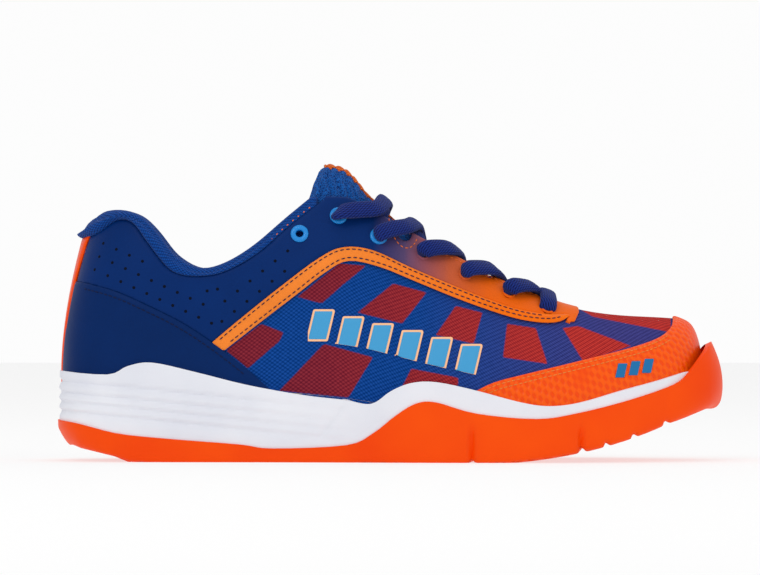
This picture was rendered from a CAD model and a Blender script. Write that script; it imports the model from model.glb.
"""The looks of a low-cut indoor court shoe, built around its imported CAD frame.

Metres, +X from heel to toe, +Z up, -Y the outer (lateral) side. Panels of the upper and the sole are
grids laid over the same smooth skins that the shoe is designed on, trimmed to their pattern outlines.
"""

import math

import bmesh
import bpy
import numpy as np
from mathutils import Matrix, Vector


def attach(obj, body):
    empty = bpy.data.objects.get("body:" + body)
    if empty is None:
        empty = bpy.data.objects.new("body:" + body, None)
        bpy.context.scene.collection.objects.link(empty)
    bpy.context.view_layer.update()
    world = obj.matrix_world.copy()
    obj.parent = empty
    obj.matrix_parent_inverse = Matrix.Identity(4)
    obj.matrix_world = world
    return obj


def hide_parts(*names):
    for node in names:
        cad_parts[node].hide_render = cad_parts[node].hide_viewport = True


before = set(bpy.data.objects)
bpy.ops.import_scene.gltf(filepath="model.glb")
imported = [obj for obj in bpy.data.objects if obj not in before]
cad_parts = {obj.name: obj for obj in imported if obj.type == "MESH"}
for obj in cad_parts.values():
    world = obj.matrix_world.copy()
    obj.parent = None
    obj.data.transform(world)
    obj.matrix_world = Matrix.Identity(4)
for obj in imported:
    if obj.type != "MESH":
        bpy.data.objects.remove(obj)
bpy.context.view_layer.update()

MM = 0.001
LATERAL, MEDIAL = -1, 1
LENGTH, HEIGHT, WIDTH = 295 * MM, 131.5 * MM, 104 * MM
GRID_U, GRID_V = 161, 91     # places looked up along and up each skin


# ---- the skins the shoe is designed on ----
# each rib, in shares of the length, width and height: place along the foot bed, outer and inner half
# width, height of the foot bed, place and height of the ridge, and how square the section is
upper_stations = [
    (0.014, 0.000, 0.000, 0.167, 0.060, 0.965, 3.6), (0.014, 0.170, 0.170, 0.167, 0.075, 0.965, 3.6),
    (0.048, 0.290, 0.285, 0.167, 0.120, 0.965, 3.6), (0.120, 0.328, 0.312, 0.167, 0.190, 0.970, 3.4),
    (0.220, 0.338, 0.308, 0.163, 0.270, 0.990, 3.0), (0.330, 0.362, 0.305, 0.152, 0.350, 1.040, 2.4),
    (0.440, 0.402, 0.325, 0.133, 0.422, 1.070, 1.95), (0.540, 0.445, 0.385, 0.106, 0.490, 0.915, 1.75),
    (0.640, 0.475, 0.445, 0.088, 0.560, 0.798, 1.70), (0.730, 0.475, 0.475, 0.086, 0.640, 0.662, 1.75),
    (0.820, 0.430, 0.460, 0.105, 0.715, 0.566, 1.90), (0.895, 0.350, 0.405, 0.155, 0.790, 0.514, 2.1),
    (0.950, 0.245, 0.295, 0.205, 0.860, 0.495, 2.4), (0.976, 0.115, 0.140, 0.235, 0.912, 0.493, 2.6),
    (0.976, 0.000, 0.000, 0.235, 0.936, 0.488, 2.6),
]
rib_heights = (0.10, 0.26, 0.42, 0.58, 0.73, 0.86, 0.95)
rib_padding = (0.0, 0.0, 0.35, 0.9, 1.0, 1.0, 1.0)
padded_back = (1.0, 1.0, 0.6, 0.2)
padded_side = (0.0, 0.3, 0.8, 1.0, 0.9, 0.25)
heel_full = (1.0, 1.0, 0.75, 0.35)
heel_belly = [share * MM for share in (2.0, 4.2, 4.8, 4.4, 3.4, 2.2, 1.2, 0.5)]
# place along the sole, outer and inner half width, and height of the underside
sole_stations = [
    (0.000, 0.000, 0.000, 0.045), (0.000, 0.200, 0.200, 0.040), (0.045, 0.325, 0.320, 0.010),
    (0.120, 0.362, 0.350, -0.008), (0.220, 0.370, 0.342, -0.008), (0.330, 0.392, 0.338, -0.006),
    (0.440, 0.432, 0.360, -0.002), (0.540, 0.474, 0.418, -0.006), (0.640, 0.500, 0.478, -0.008),
    (0.730, 0.500, 0.504, 0.006), (0.820, 0.456, 0.487, 0.040), (0.900, 0.372, 0.425, 0.092),
    (0.965, 0.255, 0.315, 0.155), (1.000, 0.125, 0.150, 0.200), (1.000, 0.000, 0.000, 0.200),
]
toe_lean = [0.0] * 11 + [3 * MM, 7 * MM, 10 * MM, 10 * MM]


def along(share):
    return (share - 0.5) * LENGTH


def ridge_tilt(number):
    before, after = upper_stations[max(0, number - 1)], upper_stations[min(14, number + 1)]
    run, climb = along(after[4]) - along(before[4]), (after[5] - before[5]) * HEIGHT
    return math.hypot(run, climb) / run


def upper_rib(number, side, outward=0.0, rise=0.0, padding=0.0):
    """Control points of one rib, from the middle of the foot bed up to the ridge."""
    place, outer, inner, foot, ridge_place, ridge, square = upper_stations[number]
    half = (outer if side == LATERAL else inner) * WIDTH
    full = min(1.0, half / (0.1 * WIDTH))
    stretch = 1.0 + 2.0 * outward / LENGTH
    foot_x, ridge_x = along(place) * stretch, along(ridge_place) * stretch
    foot_z, ridge_z = foot * HEIGHT, ridge * HEIGHT
    heel_share = max(0.0, min(1.0, (6 - number) / 3.0))
    back = padded_back[number] if number < 4 else 0.0
    flank = padded_side[number] if number < 6 else 0.0
    grown = half + outward * full
    full_heel = heel_full[number] if number < 4 else 0.0
    points = [(foot_x - heel_belly[0] * full_heel, side * share * grown, foot_z - rise)
              for share in (0.0, 0.6, 1.0)]
    for height, soft, belly in zip(rib_heights, rib_padding, heel_belly[1:]):
        inward = (1.0 - height ** square) ** (1.0 / square)
        lean = heel_share * height ** 2 + (1.0 - heel_share) * (1.0 - inward)
        steep = half * height ** (square - 1.0) * inward ** (1.0 - square)
        slant = math.hypot(ridge_z - foot_z, steep)
        sideways = outward * (ridge_z - foot_z) / slant - padding * soft * flank
        wide = half * inward + sideways * full
        points.append((foot_x + (ridge_x - foot_x) * lean + padding * soft * back - belly * full_heel,
                       side * wide,
                       foot_z + (ridge_z - foot_z) * height + outward * steep / slant * ridge_tilt(number)))
    top = ridge_z + outward * ridge_tilt(number)
    ridge_x += padding * back
    return points + [(ridge_x, side * 0.5 * wide, top), (ridge_x, 0.0, top)]


def sole_rib(number, side, outward=0.0):
    place, outer, inner, bottom = sole_stations[number]
    half = (outer if side == LATERAL else inner) * WIDTH
    half += outward * min(1.0, half / (0.1 * WIDTH))
    x = along(place) * (1.0 + 2.0 * outward / LENGTH)
    low_x = x * (1.0 - 16 * MM / LENGTH)
    low, top = bottom * HEIGHT - outward, 0.47 * HEIGHT
    edge = min(4.5 * MM, 0.5 * half)
    top_x = x - toe_lean[number]
    return [(low_x, 0, low), (low_x, side * 0.5 * (half - edge), low), (low_x, side * (half - edge), low),
            (0.5 * (x + low_x), side * (half - 0.15 * edge), low + 0.25 * edge),
            (x, side * half, low + 1.4 * edge), (x, side * half, low + 0.5 * (top - low)),
            (top_x, side * half, top), (top_x, side * 0.5 * half, top), (top_x, 0, top)]


def basis(count, t):
    """Weights of a clamped cubic's poles at each parameter."""
    knots = np.concatenate(([0] * 3, np.arange(count - 2), [count - 3] * 3)).astype(float)
    t = np.clip(t, 0, count - 3 - 1e-9)[:, None]
    table = ((knots[:-1] <= t) & (t < knots[1:])).astype(float)
    for degree in (1, 2, 3):
        n = table.shape[1] - 1
        a, b = knots[degree:degree + n] - knots[:n], knots[degree + 1:degree + 1 + n] - knots[1:1 + n]
        rise = np.where(a > 0, (t - knots[:n]) / np.where(a > 0, a, 1), 0)
        fall = np.where(b > 0, (knots[degree + 1:degree + 1 + n] - t) / np.where(b > 0, b, 1), 0)
        table = rise * table[:, :n] + fall * table[:, 1:n + 1]
    return table


class Skin:
    """Both halves of a smooth closed skin; u runs from heel to toe and v from underneath to the top."""

    def __init__(self, rib, count=15, **sizes):
        self.poles = {s: np.array([rib(n, s, **sizes) for n in range(count)]) for s in (LATERAL, MEDIAL)}
        self.u_end, self.v_end = count - 3, self.poles[LATERAL].shape[1] - 3
        table_u, table_v = np.meshgrid(np.linspace(0, self.u_end, GRID_U),
                                       np.linspace(0, self.v_end, GRID_V), indexing="ij")
        self.table_u, self.table_v = table_u.ravel(), table_v.ravel()
        self.table = {s: self.at(s, self.table_u, self.table_v) for s in (LATERAL, MEDIAL)}

    def half(self, side, u, v):
        poles = self.poles[side]
        return np.einsum("pi,pj,ijk->pk", basis(len(poles), u), basis(poles.shape[1], v), poles,
                         optimize=True)

    def at(self, side, u, v):
        u, v = np.atleast_1d(u).astype(float), np.atleast_1d(v).astype(float)
        side = np.broadcast_to(side, u.shape)
        return np.where((side < 0)[:, None], self.half(LATERAL, u, v), self.half(MEDIAL, u, v))

    def slopes(self, side, u, v):
        step = 0.004
        u0, u1 = np.clip(u - step, 0, self.u_end), np.clip(u + step, 0, self.u_end)
        v0, v1 = np.clip(v - step, 0, self.v_end), np.clip(v + step, 0, self.v_end)
        along_u = (self.at(side, u1, v) - self.at(side, u0, v)) / (u1 - u0)[:, None]
        along_v = (self.at(side, u, v1) - self.at(side, u, v0)) / (v1 - v0)[:, None]
        return along_u, along_v

    def normal(self, side, u, v):
        u, v = np.atleast_1d(u).astype(float), np.atleast_1d(v).astype(float)
        along_u, along_v = self.slopes(side, u, v)
        n = np.cross(along_u, along_v) * np.where(np.broadcast_to(side, u.shape) < 0, 1, -1)[:, None]
        middle = (u < 1e-6) | (u > self.u_end - 1e-6) | (v > self.v_end - 1e-6) | (v < 1e-6)
        n[middle, 1] = 0.0
        return n / np.maximum(np.linalg.norm(n, axis=1), 1e-12)[:, None]

    def find(self, side, x, other, axes=(0, 2), above=0.0):
        """u and v where the skin has that x and z (or x and y, with axes=(0, 1))."""
        x, other = np.atleast_1d(x).astype(float), np.atleast_1d(other).astype(float)
        table = self.table[side]
        usable = table[:, 2] > above
        pool_u, pool_v, pool = self.table_u[usable], self.table_v[usable], table[usable]
        target = np.stack([x, other], 1)
        nearest = [np.argmin(((pool[:, axes] - t) ** 2).sum(1)) for t in target]
        u, v = pool_u[nearest], pool_v[nearest]
        for _ in range(6):
            miss = target - self.at(side, u, v)[:, axes]
            a, b = self.slopes(np.full(u.shape, side), u, v)
            a, b = a[:, axes], b[:, axes]
            size = a[:, 0] * b[:, 1] - a[:, 1] * b[:, 0]
            size = np.where(abs(size) < 1e-9, 1e-9, size)
            du = (miss[:, 0] * b[:, 1] - miss[:, 1] * b[:, 0]) / size
            dv = (a[:, 0] * miss[:, 1] - a[:, 1] * miss[:, 0]) / size
            u = np.clip(u + np.clip(du, -0.3, 0.3), 0, self.u_end)
            v = np.clip(v + np.clip(dv, -0.3, 0.3), 0, self.v_end)
        return u, v


outside = Skin(upper_rib)
tongue_depths = [-7.3 * MM] * 12 + [-4.2 * MM, -3.2 * MM, -3.2 * MM]
tongue_skin = Skin(lambda n, side: upper_rib(n, side, outward=tongue_depths[n]))
wall = [2.0 * MM] * 5 + [1.4 * MM] + [0.8 * MM] * 9
inside_skin = Skin(lambda n, side: upper_rib(n, side, outward=-1.8 * MM - wall[n], padding=5.5 * MM))
sole_skin = Skin(sole_rib)
rubber_skin = Skin(sole_rib, outward=0.6 * MM)


# ---- pattern outlines, in millimetres in the side view ----
def smooth(points, steps=4):
    """More points along a rounded line through the points that are given."""
    result = []
    ends = [points[0]] + list(points) + [points[-1]]
    for a, b, c, d in zip(ends, ends[1:], ends[2:], ends[3:]):
        for step in range(steps):
            t = step / steps
            result.append(tuple(0.5 * (2 * q + (r - p) * t + (2 * p - 5 * q + 4 * r - s) * t * t
                                       + (3 * q - p - 3 * r + s) * t ** 3)
                                for p, q, r, s in zip(a, b, c, d)))
    return result + [points[-1]]


def shifted(line, distance):
    """The line moved sideways, to its right when walked from heel to toe."""
    moved = []
    for number, (x, z) in enumerate(line):
        before, after = line[max(0, number - 1)], line[min(len(line) - 1, number + 1)]
        dx, dz = after[0] - before[0], after[1] - before[1]
        size = math.hypot(dx, dz)
        moved.append((x + dz / size * distance, z - dx / size * distance))
    return moved


def signed_distance(outline, x, z):
    """Metres to an outline in millimetres, positive inside it."""
    points = np.array(outline) * MM
    nearest = np.full(x.shape, 1e9)
    inside = np.zeros(x.shape, bool)
    for (x0, z0), (x1, z1) in zip(points, np.roll(points, -1, axis=0)):
        dx, dz = x1 - x0, z1 - z0
        t = np.clip(((x - x0) * dx + (z - z0) * dz) / max(dx * dx + dz * dz, 1e-18), 0, 1)
        nearest = np.minimum(nearest, np.hypot(x - x0 - t * dx, z - z0 - t * dz))
        if z0 != z1:
            inside ^= ((z0 > z) != (z1 > z)) & (x < x0 + (z - z0) * dx / dz)
    return np.where(inside, nearest, -nearest)


FAR, HIGH = 190, 190         # past either end, and past the top
collar_line = smooth([(-150, 102), (-137, 105), (-130, 110.3), (-120, 111.3), (-112, 109.3),
                      (-104, 101.5), (-97, 92.8), (-86, 87), (-75, 89.2), (-62, 97), (-48, 109), (-36, 119)])
collar_seam = smooth([(-150, 96), (-133, 101.5), (-123, 108), (-116, 107), (-110, 99), (-101, 87.5),
                      (-94, 83.6), (-84, 83.2), (-74, 85.3), (-60, 93), (-45, 105.8), (-30, 117.4)])
quarter_low = smooth([(-83, 51), (-70, 62), (-50, 78), (-32, 91.3), (-21, 96), (-8, 94.4), (9, 86.6),
                      (32, 76.8), (52, 69.3), (66, 66), (80, 65.2)])
stripe_low = smooth([(-77, 48), (-63, 59), (-43, 74.3), (-29, 85), (-19, 89.8), (-5, 87.0), (12, 80.0),
                     (33, 71.4), (54, 64.2), (68, 61.8), (76, 62.4), (80, 64.6)])
foxing_line = smooth([(-140, 80.6), (-134, 79.3), (-122, 75.8), (-108, 69.5), (-94, 62.5), (-80, 53.5),
                      (-66, 43), (-55, 33.5)])
toe_cap_line = smooth([(36, 30.8), (46, 35.7), (62, 39.8), (84, 45), (106, 50.4), (119, 54.6),
                       (125.5, 59), (127.5, 64), (128, 76)])
foam_top = smooth([(-150, 41), (-127, 39.2), (-118, 43), (-107, 44.6), (-88, 40.5), (-65, 34.8),
                   (-40, 30.2), (-21, 28), (-9, 26.2), (0, 32), (9, 35.6), (20, 36), (38, 32.2),
                   (57, 27.2), (70, 25.3), (84, 26.7), (104, 32.2), (120, 36.4), (134, 40.6)])
rubber_top = smooth([(-150, 18.8), (-140, 17.4), (-124, 13), (-100, 10.5), (-68, 8), (-53, 6.2),
                     (-20, 7.8), (-8, 13.2), (2, 21), (11, 26.4), (20, 27), (38, 22), (65, 19.6),
                     (84, 22.3), (107, 28), (127, 34.8), (134, 40.6), (139, 47), (143.5, 53.5)])
opening = collar_line + [(-19, 118.6), (-19, HIGH), (-FAR, HIGH), (-FAR, 102)]
throat_side = smooth([(-60, 22.5), (-19, 21), (10, 19.5), (35, 18), (55, 15.5), (68, 12), (74, 7), (77, 0)])
inner_share = 0.88           # the throat is cut a little closer to the middle on the inner side
notches = ((5, 20, 4.2), (43, 17.5, 2.8))    # x, y and radius of the throat's notches
throat = [(x, inner_share * y) for x, y in throat_side] + [(x, -y) for x, y in throat_side[-2::-1]]


def below(line):
    return [(-FAR, line[0][1])] + line + [(FAR, line[-1][1]), (FAR, -HIGH), (-FAR, -HIGH)]


def throat_distance(p):
    """Metres outside the throat and its two notches a side, positive on the upper."""
    gap = -signed_distance(throat, p[:, 0], p[:, 1])
    for x, y, radius in notches:
        for side, share in ((-1, 1.0), (1, inner_share)):
            gap = np.minimum(gap, np.hypot(p[:, 0] - x * MM, p[:, 1] - side * share * y * MM) - radius * MM)
    return np.where(p[:, 2] > 0.45 * HEIGHT, gap, 1.0)


EYELET_HOLE, CLOTH_HOLE = 1.75 * MM, 2.0 * MM
eyelet_spots = [(-41, 102), (-23.6, 110), (-5.8, 100.7), (14.2, 92.6), (33, 83.4), (52.6, 75), (70, 67.8)]


def eyelet_holes(p):
    """Metres outside the nearest hole in the cloth."""
    gaps = [np.hypot(p[:, 0] - x * MM, p[:, 2] - z * MM) for x, z in eyelet_spots]
    return np.minimum.reduce(gaps) - CLOTH_HOLE


def side_view(outline):
    return lambda p: signed_distance(outline, p[:, 0], p[:, 2])


def both(*rules):
    return lambda p: np.minimum.reduce([rule(p) for rule in rules])


def outside_of(rule):
    return lambda p: -rule(p)


open_collar = outside_of(side_view(opening))


# ---- shader helpers ----
class Sock:
    """A node socket that takes part in Python expressions."""

    def __init__(self, tree, socket):
        self.tree, self.socket = tree, socket

    def maths(self, operation, *inputs):
        return self.tree.add("Math", {"operation": operation}, *inputs)

    def __add__(self, other):
        return self.maths("ADD", self, other)

    def __sub__(self, other):
        return self.maths("SUBTRACT", self, other)

    def __mul__(self, other):
        return self.maths("MULTIPLY", self, other)

    def __rsub__(self, other):
        return self.maths("SUBTRACT", other, self)

    __radd__, __rmul__ = __add__, __mul__


class Finish:
    """A procedural material under construction."""

    def __init__(self, name, color=(0.8, 0.8, 0.8), roughness=0.5, **constants):
        self.material = bpy.data.materials.new(name)
        self.material.use_nodes = True
        self.tree = self.material.node_tree
        self.shader = self.tree.nodes["Principled BSDF"]
        self.shader.inputs["Base Color"].default_value = (*color, 1)
        self.shader.inputs["Roughness"].default_value = roughness
        self.shader.inputs["Specular IOR Level"].default_value = 0.15
        for key, value in constants.items():
            self.shader.inputs[key.replace("_", " ")].default_value = value
        self.material.diffuse_color = (*color, 1)

    def add(self, kind, settings, *inputs, out=0, **named):
        node = self.tree.nodes.new("ShaderNode" + kind)
        for key, value in settings.items():
            setattr(node, key, value)
        for key, value in list(enumerate(inputs)) + [(k.replace("_", " "), v) for k, v in named.items()]:
            if value is None:
                continue
            if isinstance(value, Sock):
                self.tree.links.new(value.socket, node.inputs[key])
            else:
                node.inputs[key].default_value = value
        return Sock(self, node.outputs[out])

    def place(self):
        return self.add("TexCoord", {}, out=3)

    def cloth(self):
        return self.add("UVMap", {"uv_map": "cloth"})

    def attribute(self, name):
        return self.add("Attribute", {"attribute_name": name}, out=2)

    def part(self, vector, axis):
        return self.add("SeparateXYZ", {}, vector, out=axis)

    def noise(self, vector, scale, detail=2.0):
        return self.add("TexNoise", {}, vector, None, scale, detail)

    def ramp(self, value, low, high):
        """0 below low, 1 above high, straight between."""
        return self.add("MapRange", {"clamp": True}, value, low, high, 0.0, 1.0)

    def sine(self, value, pitch):
        """A sine of a place in metres that repeats at that pitch, from -1 to 1."""
        return self.add("Math", {"operation": "SINE"}, value * (2 * math.pi / pitch))

    def blend(self, share, first, second):
        """The first colour, with that share of the second; the node's colours are its inputs 6 and 7."""
        pair = [c if isinstance(c, Sock) else (*c, 1) for c in (first, second)]
        return self.add("Mix", {"data_type": "RGBA"}, share, *[None] * 5, *pair, out=2)

    def feed(self, socket_name, value):
        self.tree.links.new(value.socket, self.shader.inputs[socket_name])

    def bump(self, height, depth, strength=1.0):
        """height times depth, in metres, becomes the surface's relief."""
        self.feed("Normal", self.add("Bump", {}, strength, depth, Height=height))

    def waves(self, vector, axis, pitch):
        """A sine along one axis with that pitch, from 0 to 1."""
        return self.sine(self.part(vector, axis), pitch) * 0.5 + 0.5

    def weave(self, vector, pitch_u, pitch_v):
        """A plain weave: 1 on top of each thread, 0 in the gaps."""
        warp, weft = self.waves(vector, 0, 2 * pitch_u), self.waves(vector, 1, 2 * pitch_v)
        return self.add("Math", {"operation": "MAXIMUM"}, warp * weft, (1 - warp) * (1 - weft))


def srgb(red, green, blue):
    """A colour given as it looks on a screen, 0 to 255, as a shader needs it."""
    return tuple(c / 255 / 12.92 if c <= 10 else ((c / 255 + 0.055) / 1.055) ** 2.4
                 for c in (red, green, blue))


# ---- building panels ----
def finished(obj, body, finish=None, replaces=()):
    if finish is not None:
        obj.data.materials.clear()
        obj.data.materials.append(finish.material)
    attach(obj, body)
    if replaces:
        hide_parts(*replaces)
    return obj


def object_from(bm, name):
    mesh = bpy.data.meshes.new(name)
    for face in bm.faces:
        face.smooth = True
    bm.to_mesh(mesh)
    bm.free()
    obj = bpy.data.objects.new(name, mesh)
    bpy.context.scene.collection.objects.link(obj)
    return obj


def panel(name, skin, rule, finish, body="shoe", level=0.0, thick=1.0 * MM, u=(0, 12), v=(2.4, 9),
          cells=(250, 100), sides=(LATERAL, MEDIAL), replaces=(), bevel=0.35 * MM,
          relief=None, flip=False, paint=None, rim_only=True, clamp_floor=False):
    """A sheet over a skin, trimmed where rule turns negative, raised by level and given a thickness."""
    bm = bmesh.new()
    starts = []
    for side in sides:
        starts.append(len(bm.verts))
        bmesh.ops.create_grid(bm, x_segments=cells[0], y_segments=cells[1], size=0.5)
    bm.verts.ensure_lookup_table()
    co = np.array([vert.co[:2] for vert in bm.verts])
    count = len(co)
    sides_at = np.full(count, sides[0])
    if len(sides) > 1:
        sides_at[starts[1]:] = sides[1]
    us = u[0] + (co[:, 0] + 0.5) * (u[1] - u[0])
    vs = v[0] + (co[:, 1] + 0.5) * (v[1] - v[0])
    points = skin.at(sides_at, us, vs)
    key = bm.verts.layers.int.new("key")
    for number, vert in enumerate(bm.verts):
        vert[key] = number
        vert.co = points[number]
    turned = [f for f in bm.faces if sides_at[f.verts[0][key]] == MEDIAL]
    bmesh.ops.reverse_faces(bm, faces=turned)
    room = rule(points)
    gone = [f for f in bm.faces if sum(room[vert[key]] for vert in f.verts) < 0]
    bmesh.ops.delete(bm, geom=gone, context="FACES")
    bmesh.ops.remove_doubles(bm, verts=bm.verts[:], dist=5e-6)
    rim = [vert[key] for vert in bm.verts if vert.is_boundary]
    rim = np.array([n for n in rim if abs(room[n]) < 3 * MM], int)
    if len(rim):
        s, ru, rv = sides_at[rim], us[rim].copy(), vs[rim].copy()
        fixed_u = (ru < 1e-6) | (ru > skin.u_end - 1e-6)
        fixed_v = rv > skin.v_end - 1e-6
        for _ in range(4):
            p = skin.at(s, ru, rv)
            here = rule(p)
            step = 0.01
            pu, pv = skin.slopes(s, ru, rv)
            size_u, size_v = np.linalg.norm(pu, axis=1) + 1e-9, np.linalg.norm(pv, axis=1) + 1e-9
            gu = (rule(skin.at(s, ru + step, rv)) - rule(skin.at(s, ru - step, rv))) / (2 * step * size_u)
            gv = (rule(skin.at(s, ru, rv + step)) - rule(skin.at(s, ru, rv - step))) / (2 * step * size_v)
            gu[fixed_u], gv[fixed_v] = 0, 0
            steep = np.maximum(gu * gu + gv * gv, 0.15)
            reach = np.clip(here, -1.2 * MM, 1.2 * MM)
            ru -= reach * gu / steep / size_u
            rv -= reach * gv / steep / size_v
            ru, rv = np.clip(ru, *u), np.clip(rv, v[0], skin.v_end)
        us[rim], vs[rim] = ru, rv
    points, normals = skin.at(sides_at, us, vs), skin.normal(sides_at, us, vs)
    room = rule(points)
    lift = level + (relief(points, room, us, vs, sides_at) if relief else 0.0)
    points = points + normals * np.broadcast_to(lift, (count,))[:, None]
    if clamp_floor:
        points[:, 2] = np.maximum(points[:, 2], 0.0)
    arc_u, arc_v = run_of(skin, us), arc_of(skin, sides_at, us, vs)
    uv_layer = bm.loops.layers.uv.new("cloth")
    extra = [(bm.verts.layers.float.new(label), measure(points)) for label, measure in (paint or {}).items()]
    for vert in bm.verts:
        number = vert[key]
        vert.co = points[number]
        for layer, values in extra:
            vert[layer] = values[number]
    for face in bm.faces:
        for loop in face.loops:
            number = loop.vert[key]
            loop[uv_layer].uv = (arc_u[number], arc_v[number])
    if flip:
        bmesh.ops.reverse_faces(bm, faces=bm.faces[:])
    bm.verts.layers.int.remove(key)
    obj = object_from(bm, name)
    if thick:
        shell = obj.modifiers.new("thickness", "SOLIDIFY")
        shell.thickness, shell.offset, shell.use_rim_only = thick, -1.0, rim_only
        if bevel:
            soft = obj.modifiers.new("soft edge", "BEVEL")
            soft.width, soft.segments, soft.limit_method, soft.angle_limit = bevel, 2, "ANGLE", 1.0
    return finished(obj, body, finish, replaces)


arc_tables = {}


def arc_table(skin):
    """Lengths over a skin: from the heel at mid height, and down from its top for each rib."""
    if id(skin) not in arc_tables:
        grid = skin.table[LATERAL].reshape(GRID_U, GRID_V, 3)
        steps = np.linalg.norm(np.diff(grid[:, 60], axis=0), axis=1)
        down = {}
        for side in (LATERAL, MEDIAL):
            grid = skin.table[side].reshape(GRID_U, GRID_V, 3)
            rows = np.linalg.norm(np.diff(grid, axis=1), axis=2)[:, ::-1]
            down[side] = np.concatenate([np.zeros((GRID_U, 1)), np.cumsum(rows, axis=1)], axis=1)[:, ::-1]
        arc_tables[id(skin)] = (np.concatenate(([0], np.cumsum(steps))), down)
    return arc_tables[id(skin)]


def run_of(skin, us):
    """Metres along a skin from the heel."""
    return np.interp(us, np.linspace(0, skin.u_end, GRID_U), arc_table(skin)[0])


def arc_of(skin, sides_at, us, vs):
    """Metres down a skin from its ridge, positive on the inner side."""
    down = arc_table(skin)[1]
    fu, fv = us / skin.u_end * (GRID_U - 1), vs / skin.v_end * (GRID_V - 1)
    iu, iv = np.clip(fu.astype(int), 0, GRID_U - 2), np.clip(fv.astype(int), 0, GRID_V - 2)
    tu, tv = fu - iu, fv - iv
    result = np.zeros(len(us))
    for side in (LATERAL, MEDIAL):
        d, pick = down[side], sides_at == side
        mixed = ((d[iu, iv] * (1 - tv) + d[iu, iv + 1] * tv) * (1 - tu)
                 + (d[iu + 1, iv] * (1 - tv) + d[iu + 1, iv + 1] * tv) * tu)
        result[pick] = side * mixed[pick]
    return result


def walked(line, gap):
    """Points at even gaps along a line."""
    line = np.array(line, float)
    lengths = np.concatenate(([0], np.cumsum(np.linalg.norm(np.diff(line, axis=0), axis=1))))
    at = np.arange(0, lengths[-1], gap)
    return np.stack([np.interp(at, lengths, line[:, axis]) for axis in range(line.shape[1])], 1)


def on_skin(skin, side, line, level, axes=(0, 2), above=0.0):
    """A side-view line in millimetres laid on a skin: places and normals."""
    line = np.array(line) * MM
    us, vs = skin.find(side, line[:, 0], line[:, 1], axes, above)
    s = np.full(us.shape, side)
    normals = skin.normal(s, us, vs)
    return skin.at(s, us, vs) + normals * level, normals


def capsules(bm, places, normals, gap, length, width, height):
    """Small rounded stitches along a row of places on a surface."""
    for number in range(len(places) - 1):
        a, b = Vector(places[number]), Vector(places[number + 1])
        if (b - a).length > 1.8 * gap:
            continue
        forward, up = (b - a).normalized(), Vector(normals[number])
        up = (up - forward * up.dot(forward)).normalized()
        turn = Matrix((forward, up.cross(forward), up)).transposed().to_4x4()
        size = Matrix.Diagonal((length / 2, width / 2, height / 2, 1))
        bmesh.ops.create_uvsphere(bm, u_segments=6, v_segments=5, radius=1,
                                  matrix=Matrix.Translation((a + b) / 2) @ turn @ size)


def stitch_rows(name, rows, finish, gap=2.7 * MM, length=2.2 * MM, width=0.55 * MM):
    """Real stitches along rows of (skin, side, line, level)."""
    bm = bmesh.new()
    for skin, side, line, level in rows:
        places, normals = on_skin(skin, side, walked(smooth(line, 6), gap / MM / 2), level)
        places, normals = evened(places, normals, gap)
        capsules(bm, places, normals, gap, length, width, 0.5 * MM)
    return finished(object_from(bm, name), "shoe", finish)


def evened(places, normals, gap):
    """Places at even gaps along a row, with the normals between."""
    lengths = np.concatenate(([0], np.cumsum(np.linalg.norm(np.diff(places, axis=0), axis=1))))
    at = np.arange(0, lengths[-1], gap)
    mix = lambda data: np.stack([np.interp(at, lengths, data[:, axis]) for axis in range(3)], 1)
    return mix(places), mix(normals)


# ---- finishes ----
NAVY, BLUE, INDIGO = srgb(2, 44, 108), srgb(0, 70, 156), srgb(66, 62, 138)
DARK_RED, WARM_RED = srgb(142, 28, 34), srgb(205, 48, 22)
ORANGE, SOFT_ORANGE = srgb(255, 82, 0), srgb(255, 140, 55)


def printed_mesh():
    f = Finish("printed woven mesh", BLUE, 0.8, Specular_IOR_Level=0.03)
    x = f.part(f.place(), 0)
    ground = f.blend(f.ramp(x, 0.01, 0.10), BLUE, INDIGO)
    block = f.blend(f.ramp(x, -0.03, 0.08), DARK_RED, WARM_RED)
    printed = f.ramp(f.attribute("print") + (f.noise(f.cloth(), 900) - 0.5) * 0.0006, -0.0002, 0.0003)
    threads = f.weave(f.cloth(), 0.00105, 0.0009)
    slub = f.noise(f.cloth(), 420, 3)
    shade = f.blend(printed, ground, block)
    dark = f.blend(0.5, shade, (0.0, 0.004, 0.03))
    lit = f.blend(0.03, shade, (0.3, 0.5, 0.9))
    f.feed("Base Color", f.blend(f.ramp(threads * 0.85 + slub * 0.4, 0.25, 0.85), dark, lit))
    f.bump(threads + slub * 0.5, 0.00035, 0.8)
    return f


def leatherette(name, color, roughness, fade=None):
    """A smooth coated synthetic with a fine grain."""
    f = Finish(name, color, roughness, Specular_IOR_Level=0.07)
    spot = f.place()
    grain = f.noise(spot, 1500, 3)
    cloud = f.noise(spot, 60, 2)
    base = fade(f) if fade else f.blend(0.0, color, color)
    dark = f.blend(0.16, base, (0, 0, 0))
    f.feed("Base Color", f.blend(f.ramp(grain * 0.6 + cloud * 0.5, 0.35, 0.75), dark, base))
    f.feed("Roughness", f.ramp(cloud, 0.2, 0.9) * 0.14 + (roughness - 0.07))
    f.bump(grain, 0.00008, 0.7)
    return f


def eyestay_fade(f):
    x = f.part(f.place(), 0)
    red = f.blend(f.ramp(x, -0.008, 0.008), NAVY, srgb(96, 74, 112))
    warm = f.blend(f.ramp(x, 0.006, 0.026), red, srgb(196, 92, 60))
    return f.blend(f.ramp(x, 0.024, 0.044), warm, srgb(246, 104, 14))


def stripe_fade(f):
    x = f.part(f.place(), 0)
    return f.blend(f.ramp(x, -0.02, 0.05), srgb(255, 140, 52), srgb(255, 116, 12))


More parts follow.
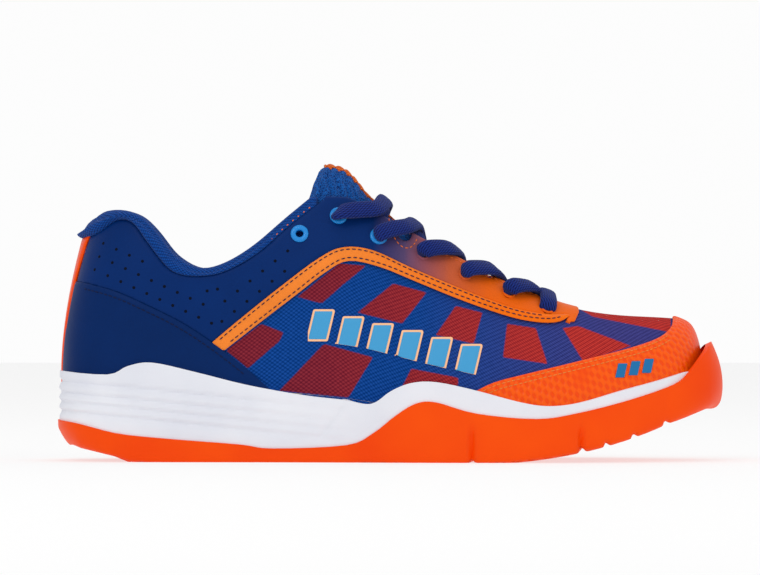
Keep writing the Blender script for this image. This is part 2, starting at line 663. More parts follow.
def embossed_toe():
    f = Finish("embossed glossy toe film", ORANGE, 0.3, Coat_Weight=0.03, Coat_Roughness=0.2)
    cloth = f.cloth()
    u, v = f.part(cloth, 0), f.part(cloth, 1)
    cell = 5.8 * MM
    cells = f.ramp(f.sine(u + v * 0.7, cell) * f.sine(u - v * 0.7, cell), -0.5, 0.55)
    shown = f.ramp(f.noise(f.place(), 38, 1), 0.35, 0.5)
    grain = f.noise(f.place(), 1800, 2)
    f.feed("Base Color", f.blend(f.ramp(cells * shown, 0.0, 0.6), srgb(246, 74, 0), srgb(255, 92, 0)))
    f.feed("Roughness", f.ramp(grain, 0.2, 0.8) * 0.12 + 0.26)
    f.bump(cells * shown + grain * 0.06, 0.0004, 0.8)
    return f


def gum_rubber():
    f = Finish("orange gum rubber", srgb(248, 74, 0), 0.45, Specular_IOR_Level=0.1)
    grain = f.noise(f.place(), 900, 3)
    cloud = f.noise(f.place(), 25, 2)
    f.feed("Base Color", f.blend(f.ramp(cloud, 0.3, 0.7), srgb(244, 68, 0), srgb(252, 82, 0)))
    f.feed("Roughness", f.ramp(cloud, 0.2, 0.8) * 0.1 + 0.4)
    f.bump(grain, 0.00005, 0.6)
    return f


def moulded_foam():
    f = Finish("white moulded foam", srgb(232, 234, 241), 0.55)
    pores = f.add("TexVoronoi", {}, f.place(), None, 1600)
    cloud = f.noise(f.place(), 30, 2)
    f.feed("Base Color", f.blend(f.ramp(cloud, 0.3, 0.7), srgb(226, 228, 237), srgb(238, 239, 245)))
    f.bump(pores, 0.00006, 0.6)
    return f


def knitted(name, color, highlight, pitch=0.0009):
    """A fine ribbed knit."""
    f = Finish(name, color, 0.85, Specular_IOR_Level=0.08, Sheen_Weight=0.06, Sheen_Roughness=0.5)
    loops = f.weave(f.cloth(), pitch, pitch * 0.8)
    fuzz = f.noise(f.cloth(), 900, 3)
    f.feed("Base Color", f.blend(f.ramp(loops * 0.7 + fuzz * 0.5, 0.25, 0.95),
                                 f.blend(0.5, color, (0, 0, 0)), highlight))
    f.bump(loops + fuzz * 0.4, 0.0003, 0.8)
    return f


def spacer_mesh():
    f = Finish("open spacer mesh", srgb(10, 84, 164), 0.8, Specular_IOR_Level=0.1, Sheen_Weight=0.05)
    holes = f.add("TexVoronoi", {"feature": "DISTANCE_TO_EDGE"}, f.place(), None, 900)
    solid = f.ramp(holes, 0.02, 0.25)
    f.feed("Base Color", f.blend(solid, srgb(16, 94, 178), srgb(4, 44, 108)))
    f.bump(1 - solid, 0.0003, 0.8)
    return f


def lace_weave():
    f = Finish("flat woven lace", srgb(18, 36, 108), 0.85, Specular_IOR_Level=0.08, Sheen_Weight=0.08)
    cloth = f.cloth()
    u, v = f.part(cloth, 0), f.part(cloth, 1)
    side = f.add("Math", {"operation": "ABSOLUTE"}, v)
    twill, ribs = f.sine(u + side * 1.2, 1.6 * MM), f.sine(v, 1.1 * MM)
    top = f.ramp(twill * 0.6 + ribs * 0.4, -0.7, 0.7)
    fuzz = f.noise(f.place(), 1500, 3)
    f.feed("Base Color", f.blend(f.ramp(top * 0.7 + fuzz * 0.5, 0.2, 1.0), srgb(8, 16, 66),
                                 srgb(30, 54, 138)))
    f.bump(top + fuzz * 0.3, 0.0003, 0.9)
    return f


def thread(name, color):
    f = Finish(name, color, 0.7, Specular_IOR_Level=0.2)
    twist = f.noise(f.place(), 2600, 2)
    f.feed("Base Color", f.blend(f.ramp(twist, 0.3, 0.7), f.blend(0.35, color, (0, 0, 0)), color))
    f.bump(twist, 0.00008, 0.6)
    return f


def hard(name, color, roughness=0.35, **constants):
    f = Finish(name, color, roughness, **constants)
    cloud = f.noise(f.place(), 300, 2)
    f.feed("Roughness", f.ramp(cloud, 0.2, 0.8) * 0.12 + (roughness - 0.05))
    return f


mesh_finish = printed_mesh()
panel_finish = leatherette("navy coated synthetic", NAVY, 0.45, eyestay_fade)
foxing_finish = leatherette("navy heel synthetic", srgb(2, 40, 98), 0.45)
stripe_finish = leatherette("orange piping synthetic", SOFT_ORANGE, 0.32, stripe_fade)
strip_finish = leatherette("orange heel strip", srgb(255, 78, 0), 0.35)
toe_finish, rubber_finish, foam_finish = embossed_toe(), gum_rubber(), moulded_foam()
collar_finish = knitted("collar knit", srgb(6, 54, 132), srgb(16, 80, 168))
lining_finish = knitted("vamp lining knit", srgb(12, 30, 74), srgb(20, 44, 98), 0.0007)
tongue_finish, lace_finish = spacer_mesh(), lace_weave()
ring_finish = hard("light blue eyelet plastic", srgb(24, 134, 214), 0.3, Coat_Weight=0.3)
emblem_finish = hard("light blue film", srgb(70, 160, 212), 0.35)
emblem_edge_finish = hard("peach film", srgb(255, 196, 150), 0.35)
dark_thread, light_thread = thread("navy thread", srgb(8, 24, 70)), thread("pale thread", srgb(255, 150, 66))
orange_thread = thread("orange thread", srgb(255, 128, 44))
toe_film_blue = hard("blue toe film", srgb(30, 112, 170), 0.35)
hole_finish = hard("inside of a punched hole", srgb(3, 10, 30), 0.9)
insole_finish = knitted("insole cover", srgb(20, 26, 48), srgb(40, 50, 84))
strip_cloth = knitted("tongue strip cloth", srgb(232, 84, 20), srgb(255, 132, 50), 0.0007)

# ---- the sole ----
def heel_bevel(x, z):
    """How far the sole's lowest part is drawn in at the back of the heel, in mm."""
    return 0.45 * np.clip(15 - z, 0, 15) * np.clip((-118 - x) / 26, 0, 1)


def foam_relief(p, room, us, vs, sides_at):
    """Grooves along the heel's foam that fade towards the arch, and a crease at the arch."""
    x, z = p[:, 0] / MM, p[:, 2] / MM
    depth = np.zeros(len(x))
    fade = np.clip((-14 - x) / 70, 0, 1)
    for start in (36.3, 31.2, 27.0, 22.8):
        above = z - (start - 0.1 * (x + 145))
        depth -= 1.4 * fade * np.exp(-(above / np.where(above > 0, 0.7, 1.7)) ** 2)
    run = (x + 20.5) + (26.5 - z) * 0.73
    crease = np.exp(-(run / 1.1) ** 2) * np.clip((z - 9) / 4, 0, 1) * np.clip((27.5 - z) / 3, 0, 1)
    belly = 0.5 * np.clip((-30 - x) / 40, 0, 1) * np.sin(np.clip((z - 14) / 26, 0, 1) * math.pi)
    full = 2.3 * np.clip((-122 - x) / 18, 0, 1)
    return (depth - 0.8 * crease + belly - 1.4 * heel_bevel(x, z) + full) * MM


foam_rule = both(side_view(below(foam_top)), outside_of(side_view(below(shifted(rubber_top, 2.5)))))
panel("midsole_foam", sole_skin, foam_rule, foam_finish, thick=4.6 * MM, v=(1.5, 5.6), cells=(300, 110),
      replaces=("midsole",), bevel=0.9 * MM, relief=foam_relief)


def rubber_relief(p, room, us, vs, sides_at):
    """Flex grooves and a fine tread under the foot, with a full heel and toe."""
    x, y, z = p[:, 0] / MM, p[:, 1] / MM, p[:, 2] / MM
    flex = np.exp(-((x - 39.5 - 0.07 * y) / 1.2) ** 2) + np.exp(-((x - 88 - 0.06 * y) / 1.2) ** 2)
    for place in (96.5, 109, 123.5):
        flex += 0.8 * np.exp(-((x - place) / 1.0) ** 2) * np.clip((2.6 - vs) / 0.5, 0, 1)
    flex *= np.clip((room / MM - 4) / 6, 0, 1)
    full = 2.4 * np.clip((x - 124) / 18, 0, 1) + 2.7 * np.clip((-124 - x) / 16, 0, 1)
    diamonds = np.maximum(np.abs(((x + y) / 7.0) % 1 - 0.5), np.abs(((x - y) / 7.0) % 1 - 0.5))
    tread = np.clip((diamonds - 0.40) / 0.08, 0, 1)
    apart = np.clip((np.abs(x + 34) - 17) / 3, 0, 1)
    under = np.clip((1.9 - vs) / 0.2, 0, 1)
    return (full - heel_bevel(x, z) - 2.4 * flex - 0.9 * tread * apart * under) * MM


panel("outsole_rubber", rubber_skin, side_view(below(rubber_top)), rubber_finish, thick=3.0 * MM,
      v=(0, 5.6), cells=(300, 92), replaces=("outsole",), bevel=0.8 * MM,
      relief=rubber_relief, clamp_floor=True)

# ---- the textile upper and its overlays ----
print_blocks = [
    [(-23, 89), (-11, 88), (-22, 79), (-31, 71), (-42, 74)],
    [(-58, 62), (-48, 58), (-50, 54), (-64, 42), (-74, 50)],
    [(-30, 53), (-8, 47), (-19, 29), (-50, 32)], [(1, 80), (16, 76), (5, 62), (-15, 67)],
    [(29, 70), (41, 67), (37, 53), (20, 57)], [(52, 62), (65, 60), (70, 44), (50, 47)],
    [(77, 60), (84, 61), (108, 52), (86, 45)], [(9, 42), (30, 38), (30, 34), (5, 34)],
    [(86, 68), (127, 66), (126, 58), (91, 65)],
]


def printed_blocks(p):
    """Metres inside the nearest printed block, for the finish to colour."""
    best = np.full(len(p), -1.0)
    for block in print_blocks:
        best = np.maximum(best, signed_distance(block, p[:, 0], p[:, 2]))
    return best


under_seam = side_view(below(collar_seam[:-1] + [(-30, 117.4), (-18, 118.6)]))
panel("printed_upper", outside, both(under_seam, throat_distance, eyelet_holes), mesh_finish,
      v=(1.4, 9), cells=(310, 130), replaces=("upper_mesh",), bevel=0.0,
      thick=1.1 * MM, paint={"print": printed_blocks})

quarter_outline = ([(-FAR, 20), (-FAR, 96)] + collar_seam[1:] + [(-30, HIGH), (84.5, HIGH), (84.5, 66.5),
                                                               (82.5, 62.6), (78, 62)]
                   + quarter_low[::-1] + [(-83, 20)])
foxing_outline = [(-FAR, 81)] + foxing_line + [(-50, 20), (-FAR, 20)]
strip_outline = [(-8.5, -20), (-8.5, 60), (-10, 101), (10, 101), (8.5, 60), (8.5, -20)]


def strip_distance(p):
    inside = signed_distance(strip_outline, p[:, 1], p[:, 2])
    return np.where(p[:, 0] < -0.1, inside, -1.0)


def rolled(height, width):
    """A rounded edge that rises over a width."""
    def relief(p, room, us, vs, sides_at):
        t = np.clip(room / width, 0, 1)
        return height * (np.sqrt(1 - (1 - t) ** 2) - 1)
    return relief


for side, label in ((LATERAL, "lateral"), (MEDIAL, "medial")):
    panel("quarter_" + label, outside, both(side_view(quarter_outline), outside_of(side_view(foxing_outline)),
                                            outside_of(strip_distance), open_collar, throat_distance,
                                            eyelet_holes),
          panel_finish, level=1.1 * MM, u=(0, 11.2), v=(2.4, 9), cells=(300, 130), sides=(side,),
          replaces=("quarter_panel_" + label,), relief=rolled(0.35 * MM, 1.2 * MM))
    panel("piping_" + label, outside, both(side_view(quarter_low + stripe_low[::-1]),
                                           outside_of(side_view(foxing_outline))), stripe_finish,
          level=1.9 * MM, u=(1.5, 11), v=(2.2, 8.6), cells=(330, 170), sides=(side,),
          replaces=("stripe_" + label,), bevel=0.2 * MM, thick=1.6 * MM,
          relief=rolled(0.7 * MM, 2.6 * MM))
    panel("heel_overlay_" + label, outside, both(side_view(foxing_outline), outside_of(strip_distance)),
          foxing_finish, level=1.75 * MM, u=(0, 6.5), v=(1.4, 7), cells=(160, 100), sides=(side,),
          replaces=("heel_foxing_" + label,), thick=1.6 * MM,
          relief=rolled(0.5 * MM, 1.6 * MM))
panel("heel_tape", outside, both(strip_distance, side_view([(-FAR, 10), (-FAR, 101), (0, 101), (0, 10)])),
      strip_finish, level=2.0 * MM, u=(0, 1.6), v=(2.0, 8.5), cells=(50, 110),
      replaces=("heel_strip",), thick=1.8 * MM, relief=rolled(0.7 * MM, 2.5 * MM))
panel("toe_overlay", outside, side_view(toe_cap_line + [(FAR, 76), (FAR, 10), (30, 10)]), toe_finish,
      level=1.15 * MM, u=(6.0, 12), v=(1.6, 9), cells=(200, 120), replaces=("toe_cap",),
      relief=rolled(0.4 * MM, 1.2 * MM))
panel("front_lining", inside_skin, both(open_collar, throat_distance, eyelet_holes,
                                        side_view([(-46, -HIGH), (-46, HIGH), (FAR, HIGH), (FAR, -HIGH)])),
      lining_finish, level=0.5 * MM, u=(3.5, 12), v=(2.0, 9), cells=(210, 110), thick=0.0,
      replaces=("vamp_lining",), flip=True)


# ---- lofted pieces ----
def loft(name, rows):
    """A closed skin through rows of places, each a ring, with its two ends filled."""
    rows = np.asarray(rows)
    count, across = rows.shape[:2]
    steps_u = np.linalg.norm(np.diff(rows, axis=0), axis=2).mean(axis=1)
    steps_v = np.linalg.norm(np.diff(rows, axis=1), axis=2)
    arc_u = np.concatenate(([0], np.cumsum(steps_u)))
    arc_v = np.concatenate([np.zeros((count, 1)), np.cumsum(steps_v, axis=1)], axis=1)
    bm = bmesh.new()
    bmesh.ops.create_grid(bm, x_segments=count - 1, y_segments=across - 1, size=0.5)
    cloth = bm.loops.layers.uv.new("cloth")
    spot = {v: (round((v.co.x + 0.5) * (count - 1)), round((v.co.y + 0.5) * (across - 1))) for v in bm.verts}
    for face in bm.faces:
        for loop in face.loops:
            i, j = spot[loop.vert]
            loop[cloth].uv = (arc_u[i], arc_v[i, j])
    for vert, (i, j) in spot.items():
        vert.co = rows[i, j]
    bmesh.ops.remove_doubles(bm, verts=bm.verts[:], dist=4e-6)
    bmesh.ops.holes_fill(bm, edges=[e for e in bm.edges if e.is_boundary], sides=0)
    bmesh.ops.recalc_face_normals(bm, faces=bm.faces[:])
    return object_from(bm, name)


def reach_line(skin, side, us, line, drop=0.0):
    """v where each rib of a skin climbs to a side-view line, less a drop."""
    line_x, line_z = np.array(line).T * MM
    low, high = np.full(us.shape, 3.0), np.full(us.shape, float(skin.v_end))
    for _ in range(22):
        middle = 0.5 * (low + high)
        p = skin.at(side, us, middle)
        over = p[:, 2] > np.interp(p[:, 0], line_x, line_z) - drop
        low, high = np.where(over, low, middle), np.where(over, middle, high)
    return 0.5 * (low + high)


# ---- the padded collar, one roll from the seam over the rim and down to the foot bed ----
ROLL = 2.4 * MM


def collar_rows(side):
    """The roll's cross sections over one half: out over the seam, round the rim, down inside and back."""
    front = float(outside.find(side, -0.0335, 0.1165)[0][0])
    us = front * np.linspace(0, 1, 110) ** 1.25
    seam, rim = reach_line(outside, side, us, collar_seam), reach_line(outside, side, us, collar_line, ROLL)
    rim = np.maximum(rim, seam + 0.02)
    inner_rim = reach_line(inside_skin, side, us, collar_line, ROLL)
    thin, full = np.clip((front - us) / 1.1, 0.25, 1), np.exp(-(us / 1.6) ** 2)
    columns = []
    for t in np.linspace(0, 1, 8):
        v = seam + (rim - seam) * t
        bulge = (1.7 * math.sin(math.pi * min(1, 0.15 + 0.85 * t)) ** 0.7 + 0.4) * MM * thin
        bulge = bulge + 2.6 * MM * math.sin(math.pi * t ** 0.8 * 0.8) * full if t else -0.4 * MM
        columns.append(outside.at(side, us, v) + outside.normal(side, us, v) * np.broadcast_to(
            bulge, us.shape)[:, None])
    outer_top = columns[-1]
    inner_top = inside_skin.at(side, us, inner_rim) - inside_skin.normal(side, us, inner_rim) * 0.4 * MM
    middle, half = 0.5 * (outer_top + inner_top), 0.5 * (outer_top - inner_top)
    for angle in np.linspace(0, math.pi, 9)[1:-1]:
        raised = np.array([0, 0, 1]) * math.sin(angle) * ROLL * (1 + 0.9 * full[:, None])
        columns.append(middle + half * math.cos(angle) + raised)
    down = np.linspace(0, 1, 26)
    for t in down:
        v = inner_rim + (1.9 - inner_rim) * t
        swell = (0.4 + 1.1 * math.exp(-((t - 0.13) / 0.12) ** 2)) * MM * thin
        columns.append(inside_skin.at(side, us, v) - inside_skin.normal(side, us, v) * swell[:, None])
    for t in down[::-3]:
        v = inner_rim + (1.9 - inner_rim) * max(t, 0.03)
        columns.append(inside_skin.at(side, us, v) + inside_skin.normal(side, us, v) * 1.0 * MM)
    columns.append(outside.at(side, us, seam) - outside.normal(side, us, seam) * 1.6 * MM)
    columns.append(columns[0])
    return np.stack(columns, 1)


lateral_rows, medial_rows = collar_rows(LATERAL), collar_rows(MEDIAL)
collar = loft("collar_roll", np.concatenate([lateral_rows[::-1], medial_rows[1:]]))
finished(collar, "shoe", collar_finish, ("collar_foam", "collar_lining"))

# ---- the tongue ----
tongue_outline = [(-27, HIGH), (-29, 134.5), (-32.5, 129.7), (-35, 124), (-36.5, 119), (-41, 107), (-22, 104),
                  (0, 94), (20, 81), (40, 68), (60, 57), (92, 48), (92, HIGH)]


def tongue_relief(p, room, us, vs, sides_at):
    """Chunky zigzag ridges, a puffed head, and a swelling between the lace's crossings."""
    x, y, z = p[:, 0] / MM, p[:, 1] / MM, p[:, 2] / MM
    zigzag = run_of(tongue_skin, us) / MM + 2.6 * np.abs(((y / 9.0) % 1) - 0.5) * 2
    ridge = 1.7 * np.abs(np.sin(math.pi * zigzag / 4.6)) ** 0.7
    head = np.clip((-12 - x) / 10, 0, 1)
    bulge = 3.6 * np.exp(-((x - 22) / 7.5) ** 2) * np.exp(-(y / 11) ** 2)
    soft = np.clip(room / (3 * MM), 0, 1)
    return (ridge * (0.45 + 0.55 * head) * (0.35 + 0.65 * soft) + 2.4 * head * (0.4 + 0.6 * soft)
            - 0.5 + bulge) * MM


tongue = panel("padded_tongue", tongue_skin, side_view(tongue_outline), tongue_finish, body="tongue",
               u=(4, 11.4), v=(4.2, 9), cells=(230, 120), thick=5.0 * MM, bevel=1.9 * MM,
               replaces=("tongue_face", "tongue_foam", "tongue_lining"), relief=tongue_relief, rim_only=False)


def strip_relief(p, room, us, vs, sides_at):
    return tongue_relief(p, room + 3 * MM, us, vs, sides_at) * 0.9 + 0.75 * MM


tape_width = [(-60, -4.2), (-60, 4.2), (90, 4.2), (90, -4.2)]
tape_reach = [(-26.5, HIGH), (-29.5, 134), (-31, 120), (-31, 60), (90, 40), (90, HIGH)]
panel("tongue_tape", tongue_skin,
      both(side_view(tape_reach), lambda p: signed_distance(tape_width, p[:, 0], p[:, 1])), strip_cloth,
      body="tongue", u=(4, 11.4), v=(7.4, 9), cells=(230, 40),
      thick=0.9 * MM, bevel=0.2 * MM, replaces=("tongue_strip",), relief=strip_relief)

# ---- eyelets ----
def ringed(bm, place, normal, hole, reach, low, top):
    """A rolled ring with its sleeve, spun round the outward normal."""
    outline = [(hole, low), (hole, top - 0.35 * MM), (hole + 0.35 * MM, top), (reach - 0.5 * MM, top),
               (reach, top - 0.45 * MM), (reach, 0.7 * MM), (hole + 0.7 * MM, 0.7 * MM),
               (hole + 0.7 * MM, low)]
    verts = [bm.verts.new((radius, 0, height)) for radius, height in outline]
    edges = [bm.edges.new(pair) for pair in zip(verts, verts[1:] + verts[:1])]
    before = set(bm.verts) - set(verts)
    bmesh.ops.spin(bm, geom=verts + edges, cent=(0, 0, 0), axis=(0, 0, 1), angle=2 * math.pi, steps=32,
                   use_merge=True)
    new = [v for v in bm.verts if v not in before]
    turn = Vector(normal).to_track_quat("Z", "Y").to_matrix().to_4x4()
    bmesh.ops.transform(bm, matrix=Matrix.Translation(Vector(place)) @ turn, verts=new)


for side, label in ((LATERAL, "lateral"), (MEDIAL, "medial")):
    places, normals = on_skin(outside, side, eyelet_spots, 0.0)
    bm, rear = bmesh.new(), bmesh.new()
    for number, (place, normal) in enumerate(zip(places, normals)):
        if number < 3:
            ringed(rear, place, normal, EYELET_HOLE, 4.0 * MM, -2.2 * MM, 2.0 * MM)
        else:
            ringed(bm, place, normal, EYELET_HOLE, 3.1 * MM, -2.2 * MM, 1.5 * MM)
    for mesh, name, finish in ((rear, "rear_eyelets_", ring_finish), (bm, "front_eyelets_", panel_finish)):
        bmesh.ops.recalc_face_normals(mesh, faces=mesh.faces[:])
        finished(object_from(mesh, name + label), "shoe", finish, ("eyelets_" + label,))

# ---- the lace: one flat woven cord, laced criss-cross from its tucked ends to a bar at the toe end ----
def spot_from_side(x, z, side, level):
    """A place so many millimetres off the upper, with that x and z in the side view."""
    return Vector(on_skin(outside, side, [(x, z)], level * MM)[0][0])


def spot_from_above(x, y, level):
    """A place so many millimetres off the upper, with that x and y seen from above."""
    side = LATERAL if y < 0 else MEDIAL
    return Vector(on_skin(outside, side, [(x, y if abs(y) > 0.01 else 0.01)], level * MM, (0, 1), 0.05)[0][0])


def half_throat(x, side):
    return float(np.interp(x, *np.array(throat_side).T)) * (inner_share if side == MEDIAL else 1.0)


def half_lace(first, first_rides):
    """The lace from one tucked end to the outside of the eyelet at the toe end."""
    tucked, towards = spot_from_side(-18.5, 102, first, -4.75), spot_from_side(-13, 91, first, -5.15)
    points = [tucked + (towards - tucked).normalized() * 3.6 * MM, tucked,
              spot_from_side(*eyelet_spots[1], first, -4.75)]
    side, rides = first, first_rides
    for number in range(1, 6):
        (x, z), (next_x, next_z) = eyelet_spots[number:number + 2]
        run = next_x - x
        middle = -3.0 if rides else -5.2
        lead = 0.95 if number == 1 else 0.62
        edge_x = x + lead * run
        edge = spot_from_above(edge_x, side * (half_throat(edge_x, side) + 0.5), 4.0)
        start = spot_from_side(x, z, side, 5.4)
        lifted = (start - spot_from_side(x, z, side, 0)) * 0.2
        near, far = half_throat(edge_x, side), half_throat(edge_x, -side)
        points += [start - (edge - start).normalized() * 1.6 * MM, start.lerp(edge, 0.5) + lifted, edge,
                   spot_from_above(x + (0.25 + lead) * run, side * 0.5 * near, 0.2 + 0.3 * middle),
                   spot_from_above(x + (0.36 + lead) * run, side * 0.01, middle),
                   spot_from_above(x + max(1.03, 0.3 + lead) * run, -side * 0.55 * far, -4.6),
                   spot_from_above(x + 1.02 * run, -side * (far + 2.5), -4.9),
                   spot_from_side(next_x, next_z, -side, -5.0)]
        side, rides = -side, not rides
    return points + [spot_from_side(*eyelet_spots[6], side, 4.2)]


bar_x = eyelet_spots[6][0] - 0.5
bar = [spot_from_above(bar_x, y, 3.2) for y in (13, 5, -5, -13)]
lace_points = half_lace(LATERAL, True) + bar + half_lace(MEDIAL, False)[::-1]


def spline_places(points, resolution=10):
    """Places along a smooth open spline through control points."""
    data = bpy.data.curves.new("route", "CURVE")
    data.dimensions, data.resolution_u = "3D", resolution
    line = data.splines.new("NURBS")
    line.points.add(len(points) - 1)
    for pole, point in zip(line.points, points):
        pole.co = (*point, 1)
    line.order_u, line.use_endpoint_u = 3, True
    obj = bpy.data.objects.new("route", data)
    bpy.context.scene.collection.objects.link(obj)
    bpy.context.view_layer.update()
    mesh = bpy.data.meshes.new_from_object(obj.evaluated_get(bpy.context.evaluated_depsgraph_get()))
    places = np.array([v.co[:] for v in mesh.vertices])
    bpy.data.objects.remove(obj)
    bpy.data.curves.remove(data)
    bpy.data.meshes.remove(mesh)
    return places


def band(name, points, half_width, half_height):
    """A flat woven band along a route, lying on the shoe and bunched where it dives through a hole."""
    places = spline_places(points)
    places, _ = evened(places, places, 0.8 * MM)
    ahead = np.gradient(places, axis=0)
    ahead /= np.linalg.norm(ahead, axis=1)[:, None]
    table = np.concatenate([outside.table[s] for s in (LATERAL, MEDIAL)])
    table_n = np.concatenate([outside.normal(s, outside.table_u, outside.table_v) for s in (LATERAL, MEDIAL)])
    wanted = np.array([table_n[np.argmin(((table - p) ** 2).sum(1))] for p in places])
    up, ups = wanted[0], []
    for t, n in zip(ahead, wanted):
        up = up - t * t.dot(up)
        target = n - t * t.dot(n)
        size = np.linalg.norm(target)
        if size > 0.3:
            target /= size
            up = up / np.linalg.norm(up) + 0.3 * math.copysign(1, up.dot(target)) * target
        up = up / np.linalg.norm(up)
        ups.append(up)
    ups = np.array(ups)
    dive = np.abs((ahead * wanted).sum(1))
    for _ in range(3):
        dive[1:-1] = (dive[:-2] + dive[1:-1] + dive[2:]) / 3
    bunch = np.clip((dive - 0.9) / 0.1, 0, 1)[:, None]
    sideways = np.cross(ups, ahead)
    rows = []
    for angle in np.linspace(0, 2 * math.pi, 15):
        c, s = math.cos(angle), math.sin(angle)
        wide, high = math.copysign(abs(c) ** 0.8, c), math.copysign(abs(s) ** 0.75, s)
        rows.append(places + sideways * wide * (half_width * (1 - bunch) + 1.75 * MM * bunch)
                    + ups * high * (half_height * (1 - bunch) + 1.3 * MM * bunch))
    return loft(name, np.stack(rows, 1))


finished(band("flat_lace", lace_points, 4.0 * MM, 1.8 * MM), "shoe", lace_finish, ("lace",))


# ---- emblems: rows of leaning bars with a pale outline ----
def leaning_bar(x, z, width, height, lean):
    return [(x, z), (x + width, z), (x + width + lean, z + height), (x + lean, z + height)]


def bars_rule(bars, grown=0.0):
    return lambda p: np.maximum.reduce([signed_distance(bar, p[:, 0], p[:, 2]) for bar in bars]) + grown


side_bars = [leaning_bar(-37 + 13.2 * n, 55 - 3.1 * n, 8.0, 12.5, 3.0) for n in range(6)]
toe_bars = [leaning_bar(100 + 6 * n, 37.5 + n, 4, 6, 1.5) for n in range(3)]
for side, label in ((LATERAL, "lateral"), (MEDIAL, "medial")):
    panel("emblem_outline_" + label, outside, bars_rule(side_bars, 0.9 * MM), emblem_edge_finish,
          level=0.35 * MM, u=(4.4, 9.4), v=(3.2, 7.2), cells=(300, 110), sides=(side,), thick=0.5 * MM,
          bevel=0.1 * MM)
    panel("emblem_bars_" + label, outside, bars_rule(side_bars), emblem_finish, level=0.75 * MM,
          u=(4.4, 9.4), v=(3.2, 7.2), cells=(300, 110), sides=(side,), thick=0.5 * MM, bevel=0.15 * MM,
          replaces=("side_emblem_" + label,), relief=rolled(0.35 * MM, 2.0 * MM))
panel("toe_bars", outside, bars_rule(toe_bars), toe_film_blue, level=1.6 * MM, u=(8.6, 11.2),
      v=(2.2, 5.2), cells=(150, 80), sides=(LATERAL,), thick=0.5 * MM, bevel=0.1 * MM,
      replaces=("toe_emblem",))

# ---- stitching and perforations ----
rows = [(outside, side, line, 1.95 * MM) for side in (LATERAL, MEDIAL)
        for line in (shifted(quarter_low[2:-3], 1.3), shifted(stripe_low[2:-3], -1.3))]
stitch_rows("piping_stitches", rows, dark_thread, gap=2.7 * MM)
stitch_rows("heel_stitches", [(outside, side, shifted(foxing_line[3:-3], 2.6), 1.85 * MM)
                              for side in (LATERAL, MEDIAL)], dark_thread, gap=2.4 * MM)
stitch_rows("toe_stitches", [(outside, side, shifted(toe_cap_line[2:-9], far), 1.25 * MM)
                             for side in (LATERAL, MEDIAL) for far in (1.6, 3.6)], light_thread, gap=2.3 * MM,
            width=0.5 * MM)
stitch_rows("collar_stitches", [(outside, side, shifted(collar_seam[37:-1], -1.0), 1.1 * MM)
                                for side in (LATERAL, MEDIAL)], orange_thread, gap=3.2 * MM, length=1.0 * MM)


def throat_stitches():
    """A row round the edge of the throat and round its rear notch."""
    bm = bmesh.new()
    at_x, at_y, _ = notches[0]
    for side in (LATERAL, MEDIAL):
        share = inner_share if side == MEDIAL else 1.0
        edge = [(x, y + 2.6) for x, y in throat_side[8:-8]]
        line = [(x, y) for x, y in edge if math.hypot(x - at_x, y - at_y) > 6.6 and x > 9]
        notch = [(at_x + 6.4 * math.cos(a), at_y + 6.4 * math.sin(a)) for a in np.linspace(math.pi, 0, 14)]
        for run in (notch, line):
            run = [(x, side * share * y) for x, y in run]
            places, normals = on_skin(outside, side, walked(run, 1.2), 1.2 * MM, (0, 1), 0.05)
            capsules(bm, *evened(places, normals, 2.5 * MM), 2.5 * MM, 1.8 * MM, 0.5 * MM, 0.45 * MM)
    finished(object_from(bm, "throat_stitches"), "shoe", orange_thread)


throat_stitches()


def perforations():
    """Punched holes in slanting rows over the ankle, drawn as small dark dimples."""
    bm = bmesh.new()
    zone = both(side_view(quarter_outline), outside_of(side_view(foxing_outline)), outside_of(strip_distance))
    for side in (LATERAL, MEDIAL):
        for number in range(5):
            corner = (-80 + 1.0 * number, 75.5 - 7.2 * number)
            late = 3 * (number % 2)
            back = [(corner[0] - 0.92 * d, corner[1] + 0.42 * d) for d in np.arange(2.5 + late, 62, 6.3)]
            front = [(corner[0] + 0.78 * d, corner[1] + 0.62 * d) for d in np.arange(3.0 + late, 44, 7.2)]
            for line in (back, front):
                places, normals = on_skin(outside, side, line, 1.16 * MM)
                kept = zone(places) > 4.2 * MM
                for place, normal in zip(places[kept], normals[kept]):
                    turn = Vector(normal).to_track_quat("Z", "Y").to_matrix().to_4x4()
                    bmesh.ops.create_cone(bm, cap_ends=True, segments=10, radius1=0.72 * MM, radius2=0.5 * MM,
                                          depth=0.12 * MM, matrix=Matrix.Translation(Vector(place)) @ turn)
    finished(object_from(bm, "perforations"), "shoe", hole_finish)


perforations()

# ---- the insole, and finishes for the frame's own pieces ----
cover = bmesh.new()
cover.from_mesh(bpy.data.objects["insole"].data)
bmesh.ops.remove_doubles(cover, verts=cover.verts[:], dist=2e-5)
insole = object_from(cover, "insole_cushion")
dense = insole.modifiers.new("even mesh", "REMESH")
dense.mode, dense.voxel_size, dense.use_smooth_shade = "VOXEL", 1.6 * MM, True
soft = insole.modifiers.new("soft", "SMOOTH")
soft.factor, soft.iterations = 0.5, 6
finished(insole, "insole", insole_finish, ("insole",))

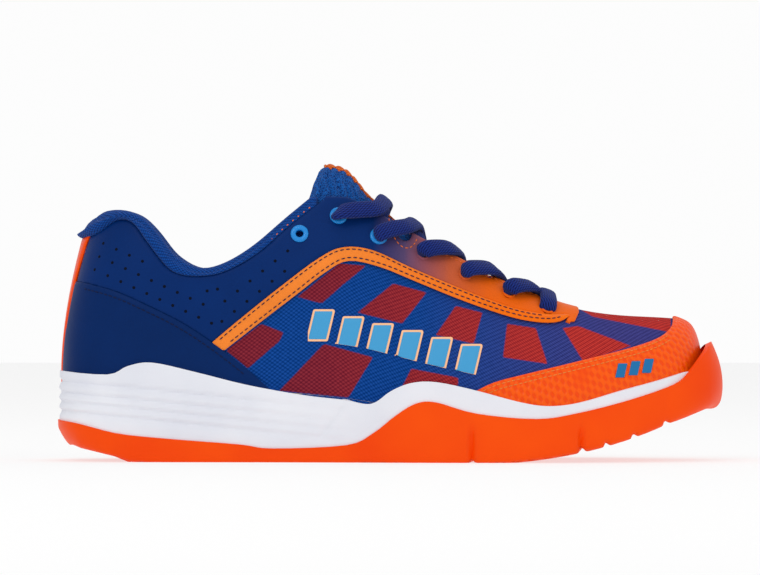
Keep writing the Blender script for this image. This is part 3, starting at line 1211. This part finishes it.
for node, finish in (("shank", hard("shank plastic", srgb(40, 42, 46), 0.5)),
                     ("heel_insert", hard("heel gel", srgb(120, 150, 190), 0.25)),
                     ("insole_board", leatherette("fibre board", srgb(190, 176, 150), 0.8)),
                     ("toe_puff", leatherette("backing foam", srgb(60, 64, 78), 0.8)),
                     ("vamp_backing", leatherette("vamp backing foam", srgb(16, 34, 78), 0.8)),
                     ("heel_counter", hard("counter plastic", srgb(200, 200, 196), 0.5)),
                     ("aglets", hard("lace tip film", srgb(16, 30, 90), 0.25, Coat_Weight=0.4))):
    for slot in bpy.data.objects[node].material_slots:
        slot.material = finish.material


# ---- stage, light and camera ----
def stage_floor():
    bm = bmesh.new()
    bmesh.ops.create_grid(bm, x_segments=2, y_segments=2, size=4.0)
    floor = object_from(bm, "pale_floor")
    pale = Finish("pale floor", (0.35, 0.35, 0.35), 0.95, Emission_Color=(1, 1, 1, 1), Emission_Strength=0.62)
    floor.data.materials.append(pale.material)


def lamp(name, place, size, power, target=(0, 0, 0.06)):
    data = bpy.data.lights.new(name, "AREA")
    data.size, data.energy = size, power
    obj = bpy.data.objects.new(name, data)
    obj.location = place
    obj.rotation_euler = (Vector(target) - Vector(place)).to_track_quat("-Z", "Y").to_euler()
    bpy.context.scene.collection.objects.link(obj)


stage_floor()
world = bpy.data.worlds.new("soft studio")
bpy.context.scene.world = world
world.use_nodes = True
backdrop = world.node_tree.nodes["Background"]
backdrop.inputs["Color"].default_value = (1, 1, 1, 1)
rays = world.node_tree.nodes.new("ShaderNodeLightPath")
bright = world.node_tree.nodes.new("ShaderNodeMapRange")
bright.inputs["To Min"].default_value, bright.inputs["To Max"].default_value = 0.76, 0.98
world.node_tree.links.new(rays.outputs["Is Camera Ray"], bright.inputs["Value"])
world.node_tree.links.new(bright.outputs["Result"], backdrop.inputs["Strength"])
bpy.context.scene.view_settings.view_transform = "Standard"
lamp("key", (-0.5, -1.3, 1.3), 0.7, 4.6)
lamp("fill", (1.1, -1.0, 0.5), 1.0, 1.4)
lamp("top", (0.1, 0.3, 1.6), 1.0, 3.4)

frame_width, reach = 0.3387, 3.04        # metres across the frame, at the shoe's outer side
camera_data = bpy.data.cameras.new("camera")
camera = bpy.data.objects.new("camera", camera_data)
bpy.context.scene.collection.objects.link(camera)
bpy.context.scene.camera = camera
camera_data.sensor_width = 36
camera_data.lens = camera_data.sensor_width * reach / frame_width
camera_data.clip_end = 30
camera.location = (-0.0049, -3.09, 0.0782)
camera.rotation_euler = (math.pi / 2, 0, 0)
